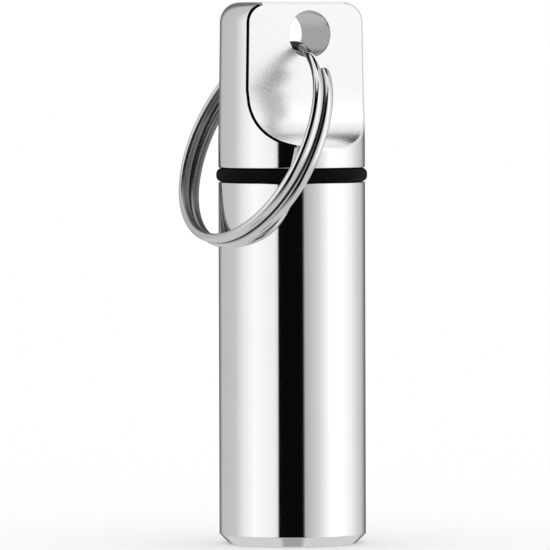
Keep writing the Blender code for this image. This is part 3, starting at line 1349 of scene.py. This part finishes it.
    def _narrow_sides(self, skin: Skin, quarter: list[Station], strips: Strips,
                      top_from: int) -> tuple[list[int], dict[Hand, list[int]]]:
        """Add the turned sides between the two flats.

        Args:
            skin: The cap's skin.
            quarter: The stations of one quarter.
            strips: The broken edges' rows of points.
            top_from: The number of the station where the level top begins.

        Returns:
            The lowest full circle, and the highest row of the sides for each hand.
        """
        first_rows = {}
        last_rows = {}
        for hand in Hand:
            before: list[int] = []
            for number in range(top_from + 1):
                station = quarter[number]
                start = strips[Side.FRONT, hand][number][0]
                end = strips[Side.BACK, hand][number][0]
                edge_point = skin.points[start]
                reach = math.hypot(edge_point.x, edge_point.y)
                turn = math.atan2(abs(edge_point.x), abs(edge_point.y))
                radial = math.hypot(station.turned.x, station.turned.y)
                row = [start]
                for step in range(1, self.half_columns):
                    angle = turn + (math.pi - 2 * turn) * step / self.half_columns
                    way = Vector((hand * math.sin(angle), -math.cos(angle), 0))
                    row.append(skin.add(way * reach + Vector((0, 0, edge_point.z)),
                                        way * radial + Vector((0, 0, station.turned.z))))
                row.append(end)
                if before:
                    skin.join(before, row, Zone.POLISHED, closed=False)
                else:
                    first_rows[hand] = row
                before = row
            last_rows[hand] = before
        return first_rows[Hand.RIGHT] + first_rows[Hand.LEFT][-2:0:-1], last_rows

    @staticmethod
    def _level_top(skin: Skin, strips: Strips, top_from: int,
                   highest: dict[Hand, list[int]]) -> None:
        """Add the level top as one face.

        Args:
            skin: The cap's skin.
            strips: The broken edges' rows of points.
            top_from: The number of the station where the level top begins.
            highest: The highest row of the turned sides, by hand.
        """
        back = [row[0] for row in strips[Side.BACK, Hand.RIGHT][top_from + 1:]]
        back += [row[0] for row in strips[Side.BACK, Hand.LEFT][-2:top_from:-1]]
        front = [row[0] for row in strips[Side.FRONT, Hand.LEFT][top_from + 1:]]
        front += [row[0] for row in strips[Side.FRONT, Hand.RIGHT][-2:top_from:-1]]
        skin.face(highest[Hand.RIGHT] + back + highest[Hand.LEFT][::-1] + front, Zone.POLISHED)

    def _flat_and_scoop(self, skin: Skin, side: Side, strips: Strips,
                        flat_from: int) -> list[int]:
        """Add one side's scoop, flat and rounded hole edge.

        Args:
            skin: The cap's skin.
            side: The side of the tab.
            strips: The broken edges' rows of points.
            flat_from: The number of the station where the flat begins.

        Returns:
            The ring of points where the hole's wall begins.
        """
        right = [row[-1] for row in strips[side, Hand.RIGHT]]
        left = [row[-1] for row in strips[side, Hand.LEFT]]
        middle = [right[0]]
        for number in range(1, flat_from + 1):
            point, normal = skin.points[right[number]], skin.normals[right[number]]
            middle.append(skin.add(Vector((0, point.y, point.z)), normal))
            for edge in (right, left):
                corners = (edge[number - 1], edge[number], middle[number], middle[number - 1])
                skin.face(list(dict.fromkeys(corners)), Zone.MACHINED)
        rings = self._hole_edge(skin, side)
        half = self.hole_columns // 2
        around = rings[0]
        right_half = around[:half + 1]
        left_half = [around[0]] + around[:half - 1:-1]
        skin.face([middle[-1]] + right[flat_from:] + right_half, Zone.MACHINED)
        skin.face([middle[-1]] + left[flat_from:] + left_half, Zone.MACHINED)
        for low, high in zip(rings, rings[1:]):
            skin.join(low, high, Zone.POLISHED)
        return rings[-1]

    def _hole_edge(self, skin: Skin, side: Side) -> list[list[int]]:
        """Add the rounded edge of the hole on one flat.

        Args:
            skin: The cap's skin.
            side: The side of the tab.

        Returns:
            Its rings of points, from the flat inwards.
        """
        rings = []
        for step in range(self.edge_steps + 1):
            lean = QUARTER_TURN * step / self.edge_steps
            reach = self.hole_radius + self.hole_edge * (1 - math.sin(lean))
            y = side * (self.tab_half - self.hole_edge * (1 - math.cos(lean)))
            ring = []
            for column in range(self.hole_columns):
                angle = FULL_TURN * column / self.hole_columns
                way = Vector((math.sin(angle), 0, math.cos(angle)))
                normal = Vector((0, side * math.cos(lean), 0)) - way * math.sin(lean)
                ring.append(skin.add(self.hole_centre + Vector((0, y, 0)) + way * reach, normal))
            rings.append(ring)
        return rings

    def build(self, palette: Palette, ridge_tree: bpy.types.NodeTree) -> list[bpy.types.Object]:
        """Build and dress the cap.

        Args:
            palette: The object's finishes.
            ridge_tree: The screw ridge tree.

        Returns:
            The cap's head and its thread.
        """
        head = self.head(palette)
        half_root = self.thread.root_width / 2
        ridge = self.thread.ridge("cap_thread", ridge_tree, palette.thread,
                                  self.plug_end + half_root, self.thread_top - half_root,
                                  self.tube.mouth, inward=False)
        for piece in (head, ridge):
            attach(piece, "cap")
            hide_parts("cap")
        return [head, ridge]


@dataclass
class Seal:
    """The rubber O-ring, squeezed between the cap's flange and the tube's rim."""

    cap: Cap
    proud: float = 0.25 * MM
    collar_gap: float = 0.16 * MM
    face_gap: float = 0.01 * MM
    squareness: float = 2.4
    section_steps: int = 48
    columns: int = 256

    def section(self) -> list[OutlinePoint]:
        """The seal's squeezed section.

        Returns:
            Its points all the way round, with their true normals.
        """
        inner_radius = self.cap.collar_radius + self.collar_gap
        outer_radius = self.cap.radius + self.proud
        half_width = (outer_radius - inner_radius) / 2
        half_height = self.cap.seal_space / 2 - self.face_gap
        centre = (outer_radius + inner_radius) / 2
        centre_height = self.cap.base - self.cap.seal_space / 2
        points = []
        for step in range(self.section_steps):
            angle = FULL_TURN * (step + 0.5) / self.section_steps
            across, along = math.cos(angle), math.sin(angle)
            power = 2 / self.squareness
            x = math.copysign(abs(across) ** power, across)
            z = math.copysign(abs(along) ** power, along)
            out = Vector((math.copysign(abs(x) ** (self.squareness - 1), x) / half_width,
                          math.copysign(abs(z) ** (self.squareness - 1), z) / half_height))
            out.normalize()
            points.append(OutlinePoint(centre + x * half_width, centre_height + z * half_height,
                                       out.x, out.y, Zone.POLISHED))
        return points

    def build(self, palette: Palette) -> list[bpy.types.Object]:
        """Build and dress the seal.

        Args:
            palette: The object's finishes.

        Returns:
            The seal's object.
        """
        skin = Skin()
        rows = turned_rows(skin, self.section(), compass(self.columns))
        for low, high in zip(rows, rows[1:] + rows[:1]):
            skin.join(low, high, Zone.POLISHED)
        ring = skin.build("seal_ring", (palette.rubber,))
        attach(ring, "seal")
        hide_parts("seal")
        return [ring]


@dataclass
class KeyRing:
    """The split ring of two turns of oval wire, which leans on the tube from the tab's hole."""

    cap: Cap
    diameter: float = 24.8 * MM
    wire_width: float = 1.0 * MM
    wire_thickness: float = 1.3 * MM
    turn_gap: float = 0.1 * MM
    squareness: float = 2.0
    hole_clearance: float = 0.2 * MM
    lean_clearance: float = 0.15 * MM
    twist: float = math.radians(4.5)
    front_end: float = math.radians(40)
    back_end: float = math.radians(30)
    end_space: float = math.radians(3)
    steps: int = 300
    section_steps: int = 56
    smooth_angle: float = math.radians(50)
    end_easing: float = 0.12 * MM
    end_easing_steps: int = 3
    end_roundness: float = 0.5
    # How the painted shade on the wire sets in: on the inside of the back turn and between the
    # turns
    back_from: float = 0.5
    inner_from: float = 0.35
    inner_blend: float = 0.3
    inner_shade: float = 0.75
    seam_shade_reach: float = 0.22 * MM

    @property
    def wire_radius(self) -> float:
        """The radius of the circle that the wire's middle follows."""
        return (self.diameter - self.wire_width) / 2

    @property
    def drop(self) -> float:
        """How far the ring's centre hangs from the hole's, in the ring's own plane.

        Returns:
            The drop at which the wire's inner side clears the hole's lower edge.
        """
        inner = self.diameter / 2 - self.wire_width
        sag = inner - math.sqrt(inner ** 2 - self.cap.tab_half ** 2)
        wire_drop = self.cap.hole_radius - self.hole_clearance - sag - self.wire_width / 2
        return wire_drop + self.wire_radius

    @property
    def lean(self) -> float:
        """The ring's lean from straight down.

        Returns:
            The angle at which the wire's side rests beside the tube.
        """
        reach = self.drop + self.wire_radius
        half_stack = self.wire_thickness + self.turn_gap / 2
        stand_off = self.cap.radius + self.cap.hole_offset + self.lean_clearance
        return math.asin(stand_off / math.hypot(reach, half_stack)) + math.atan2(half_stack, reach)

    def build(self, palette: Palette, tree: bpy.types.NodeTree) -> list[bpy.types.Object]:
        """Build and dress the ring.

        Args:
            palette: The object's finishes.
            tree: The split ring tree.

        Returns:
            The ring's object.
        """
        item = bake_tree("split_ring", tree, {
            "Wire Radius": self.wire_radius,
            "Wire Width": self.wire_width, "Wire Thickness": self.wire_thickness,
            "Squareness": self.squareness, "Half Step": (self.wire_thickness + self.turn_gap) / 2,
            "First Angle": self.front_end, "Last Angle": 2 * FULL_TURN - self.back_end,
            "Cross Start": FULL_TURN - self.back_end + self.end_space,
            "Cross End": FULL_TURN + self.front_end - self.end_space,
            "Steps": self.steps, "Section Steps": self.section_steps, "Material": palette.wire})
        self._ease_ends(item.data)
        # Paint shade on the wire in the hole, inside the back turn and between the turns
        self._mark_painted_shade(item.data)
        # The tree winds about Z from +X; the ring hangs in its own plane, square to X
        hang = Matrix(((0, 0, 1), (0, -1, 0), (1, 0, 0))).to_4x4()
        down = Matrix.Translation((0, 0, -self.drop))
        turn = Euler((0, self.lean, self.twist)).to_matrix().to_4x4()
        item.data.transform(Matrix.Translation(self.cap.hole_centre) @ turn @ down @ hang)
        item.data.shade_smooth()
        item.data.set_sharp_from_angle(angle=self.smooth_angle)
        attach(item, "key_ring")
        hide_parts("key_ring")
        return [item]

    def _mark_painted_shade(self, mesh: bpy.types.Mesh) -> None:
        """Store how much painted shade each point takes: in the hole, at the back's inside, and
        between turns.

        Args:
            mesh: The ring's mesh, about the Z axis, with the hole on the +X side and the front
                on the +Y side.
        """
        marks = mesh.attributes.new(PAINTED_SHADE, "FLOAT", "POINT")
        half_width = self.wire_width / 2
        for vert, mark in zip(mesh.vertices, marks.data):
            inward = (self.wire_radius - vert.co.xy.length) / half_width
            inner = clamped((inward - self.inner_from) / self.inner_blend)
            back = clamped(self.back_from - vert.co.y / self.cap.tab_half)
            bearing = math.atan2(vert.co.y, vert.co.x)
            paired = not -self.back_end < bearing < self.front_end
            aside = abs(vert.co.z) - self.turn_gap / 2
            between = clamped(1.0 - aside / self.seam_shade_reach) if paired else 0.0
            in_hole = vert.co.x > 0 and abs(vert.co.y) < self.cap.tab_half
            # Painted shade: the strand in the hole is fully darkened, and the back's inside and the
            # seam between turns partly
            mark.value = 1.0 if in_hole else max(inner * back * self.inner_shade, between)

    def _ease_ends(self, mesh: bpy.types.Mesh) -> None:
        """Round the edges of the wire's two cut ends a little.

        Args:
            mesh: The ring's mesh, of which only the cut ends have more than four corners.
        """
        bm = bmesh.new()
        bm.from_mesh(mesh)
        caps = [face for face in bm.faces if len(face.verts) > 4]
        edges = [edge for face in caps for edge in face.edges]
        bmesh.ops.bevel(bm, geom=edges, offset=self.end_easing, segments=self.end_easing_steps,
                        profile=self.end_roundness, affect="EDGES")
        bmesh.ops.recalc_face_normals(bm, faces=bm.faces)
        bm.to_mesh(mesh)
        bm.free()


# Viewpoint and studio


@dataclass
class Viewpoint:
    """The camera, where the photograph was taken from."""

    bearing: float = math.radians(-28)
    height: float = 60 * MM
    distance: float = 880 * MM
    aim_height: float = 30.2 * MM
    aim_left: float = 1.912 * MM
    lens: float = 512.0
    roll: float = math.radians(0.17)
    clip_near: float = 8.8 * MM
    clip_far: float = 17.6

    @property
    def back(self) -> Vector:
        """The level direction from the object to the camera."""
        return Vector((math.sin(self.bearing), -math.cos(self.bearing), 0))

    @property
    def right(self) -> Vector:
        """The level direction to the camera's right."""
        return Vector((math.cos(self.bearing), math.sin(self.bearing), 0))

    def place(self) -> None:
        """Make the scene's camera."""
        aim = Vector((0, 0, self.aim_height)) - self.right * self.aim_left
        stand = aim + self.back * self.distance
        stand.z = self.height
        data = bpy.data.cameras.new("photo_camera")
        data.lens = self.lens
        data.clip_start = self.clip_near
        data.clip_end = self.clip_far
        camera = add_object("photo_camera", data)
        camera.location = stand
        level = (aim - stand).to_track_quat("-Z", "Y")
        camera.rotation_euler = (level @ Quaternion((0, 0, 1), -self.roll)).to_euler()
        bpy.context.scene.camera = camera


@dataclass(frozen=True)
class Card:
    """A stretch of the tent's wall: its bearing in degrees, right of the camera, and its grey."""

    bearing: float
    grey: float

    @property
    def place(self) -> float:
        """Where it stands on the wall's ramp, which runs from 0 to 1 and ends behind the object."""
        return self.bearing / FULL_TURN_DEGREES + 0.5


@dataclass(frozen=True)
class Baffle:
    """A round spot on the light tent: its centre's direction, half angle, blur and grey."""

    towards: tuple[float, float, float]
    half_angle: float
    blur: float
    grey: float


@dataclass
class Studio:
    """A pale floor in a round light tent, with a dark gap in the tent where the camera looks in.

    Only polished surfaces see the tent. The camera and matt surfaces see plain white. Greys are
    the ones that the steel shows. An edge has two values, where it begins and where it is full.
    """

    viewpoint: Viewpoint
    cards: tuple[Card, ...] = (
        Card(-180, 165), Card(-172, 105), Card(-160, 112), Card(-152, 155), Card(-145, 188),
        Card(-120, 190), Card(-101, 197), Card(-83, 231), Card(-62, 252), Card(-28, 238),
        Card(-22.5, 214), Card(-20, 40), Card(-18.5, 14), Card(14, 14), Card(17, 80),
        Card(20, 172), Card(42, 211), Card(60, 254), Card(64, 268), Card(80, 268), Card(86, 257),
        Card(90, 254), Card(106, 240), Card(123, 210), Card(138, 194), Card(146, 172),
        Card(153, 130), Card(162, 105), Card(172, 100), Card(180, 165),
    )
    steel_brightness: float = SteelFinish.brightness
    roof_from: float = math.radians(59)
    roof_full: float = math.radians(64)
    roof_grey: float = 250
    ground_from: float = math.radians(-12)
    ground_full: float = math.radians(-26)
    ground_grey: float = 206
    gap_grey: float = 8
    gap_sides: tuple[float, float, float, float] = (-0.38, -0.34, 0.25, 0.33)
    gap_ends: tuple[float, float, float, float] = tuple(map(math.radians, (-60, -25, 70, 76)))
    gap_front: float = 0.05
    gap_flare: float = 0.7
    baffles: tuple[Baffle, ...] = (
        Baffle((0.47, 0.258, 0.844), math.radians(12.2), math.radians(0.8), 8),
        Baffle((0, 0, -1), math.radians(8), math.radians(3), 158),
    )
    floor_size: float = 12.0
    floor_level: float = 0.995

    def light(self) -> None:
        """Build the world: the tent for glossy rays, and plain white for all others."""
        world = bpy.data.worlds.new("light_tent")
        bpy.context.scene.world = world
        world.use_nodes = True
        world.cycles.sampling_method = "NONE"
        world.node_tree.nodes.clear()
        bench = NodeBench(world.node_tree)
        glossy = bench.node("ShaderNodeLightPath").outputs["Is Glossy Ray"]
        seen = bench.blend(glossy, grey_colour(1.0), self._tent(bench))
        background = bench.node("ShaderNodeBackground", {"Color": seen, "Strength": 1.0})
        bench.node("ShaderNodeOutputWorld", {"Surface": background.outputs[0]})

    def _tent(self, bench: NodeBench) -> bpy.types.NodeSocket:
        """The light tent: its wall of cards, roof and ground, then its gap and baffles.

        Args:
            bench: The world's node bench.

        Returns:
            The tent's colour in each direction.
        """
        towards = bench.node("ShaderNodeTexCoord").outputs["Generated"]
        forward = bench.facing(towards, self.viewpoint.back)
        sideways = bench.facing(towards, self.viewpoint.right)
        height = bench.upward(towards)
        rise = bench.maths("ARCSINE", height)

        bearing = bench.maths("ARCTAN2", sideways, forward)
        ramp = bench.node("ShaderNodeValToRGB", {0: bench.remap(bearing, -math.pi, math.pi)})
        self._fill_ramp(ramp.color_ramp)
        roof = bench.remap(rise, self.roof_from, self.roof_full, smooth=True)
        tent = bench.blend(roof, ramp.outputs[0], self._tone(self.roof_grey))
        ground = bench.remap(rise, self.ground_full, self.ground_from, 1.0, 0.0, smooth=True)
        tent = bench.blend(ground, tent, self._tone(self.ground_grey))

        flare = bench.maths("MULTIPLY_ADD", bench.maths("ABSOLUTE", height), self.gap_flare, 1.0)
        aside = bench.maths("DIVIDE", sideways, flare)
        gap = self._gap_mask(bench, aside, forward, rise)
        tent = bench.blend(gap, tent, self._tone(self.gap_grey))
        for baffle in self.baffles:
            outer = math.cos(baffle.half_angle + baffle.blur)
            spot = bench.remap(bench.facing(towards, baffle.towards), outer,
                               math.cos(baffle.half_angle))
            tent = bench.blend(spot, tent, self._tone(baffle.grey))
        return tent

    def _gap_mask(self, bench: NodeBench, aside: bpy.types.NodeSocket,
                  forward: bpy.types.NodeSocket,
                  rise: bpy.types.NodeSocket) -> bpy.types.NodeSocket:
        """The tent's gap, a strip that runs up and down from the camera.

        Args:
            bench: The world's node bench.
            aside: How far right of the camera a direction points, with the strip's flare out.
            forward: How far it points towards the camera.
            rise: Its angle above the level.

        Returns:
            The mask: 1 in the gap and 0 on the tent.
        """
        left, left_full, right_full, right = self.gap_sides
        bottom, bottom_full, top_full, top = self.gap_ends
        mask = bench.remap(forward, 0.0, self.gap_front)
        for value, none, full in ((aside, left, left_full), (aside, right, right_full),
                                  (rise, bottom, bottom_full), (rise, top, top_full)):
            mask = bench.maths("MULTIPLY", mask, bench.remap(value, none, full))
        return mask

    def _fill_ramp(self, ramp: bpy.types.ColorRamp) -> None:
        """Put one stop on the ramp for each card.

        Args:
            ramp: The wall's ramp.
        """
        stops = ramp.elements
        while len(stops) > 1:
            stops.remove(stops[-1])
        for number, card in enumerate(self.cards):
            stop = stops[0] if number == 0 else stops.new(card.place)
            stop.position = card.place
            stop.color = self._tone(card.grey)

    def _tone(self, grey: float) -> Colour:
        """The tent's colour that steel shows as the given grey."""
        return grey_colour(linear(grey) / self.steel_brightness)

    def lay_floor(self) -> None:
        """Lay the pale floor, which polished surfaces look past to the tent."""
        half = self.floor_size / 2
        mesh = bpy.data.meshes.new("pale_floor")
        mesh.from_pydata([(-half, -half, 0), (half, -half, 0), (half, half, 0), (-half, half, 0)],
                         [], [(0, 1, 2, 3)])
        item = add_object("pale_floor", mesh)
        material, bench, shader = open_material("pale_floor")
        bench.feed(shader["Base Color"], grey_colour(self.floor_level))
        bench.feed(shader["Roughness"], 1.0)
        bench.feed(shader["Specular IOR Level"], 0.0)
        mesh.materials.append(material)
        item.visible_glossy = False


# Assembly


def main() -> None:
    """Set up the view and the light, build each sub-assembly in order and report its pieces."""
    logging.basicConfig(level=logging.INFO, format="%(name)s: %(message)s")
    bpy.context.scene.view_settings.view_transform = "Standard"
    viewpoint = Viewpoint()
    viewpoint.place()
    studio = Studio(viewpoint)
    studio.light()
    studio.lay_floor()
    palette = Palette()
    ridge_tree = screw_ridge_tree()
    thread = Thread()
    tube = Tube(thread)
    cap = Cap(tube)
    made = tube.build(palette, ridge_tree)
    made += cap.build(palette, ridge_tree)
    made += Seal(cap).build(palette)
    made += KeyRing(cap).build(palette, split_ring_tree())
    for piece in made:
        log.info("%s: %.1f x %.1f x %.1f mm, %d faces", piece.name, *(piece.dimensions / MM),
                 len(piece.data.polygons))


if __name__ == "__main__":
    main()
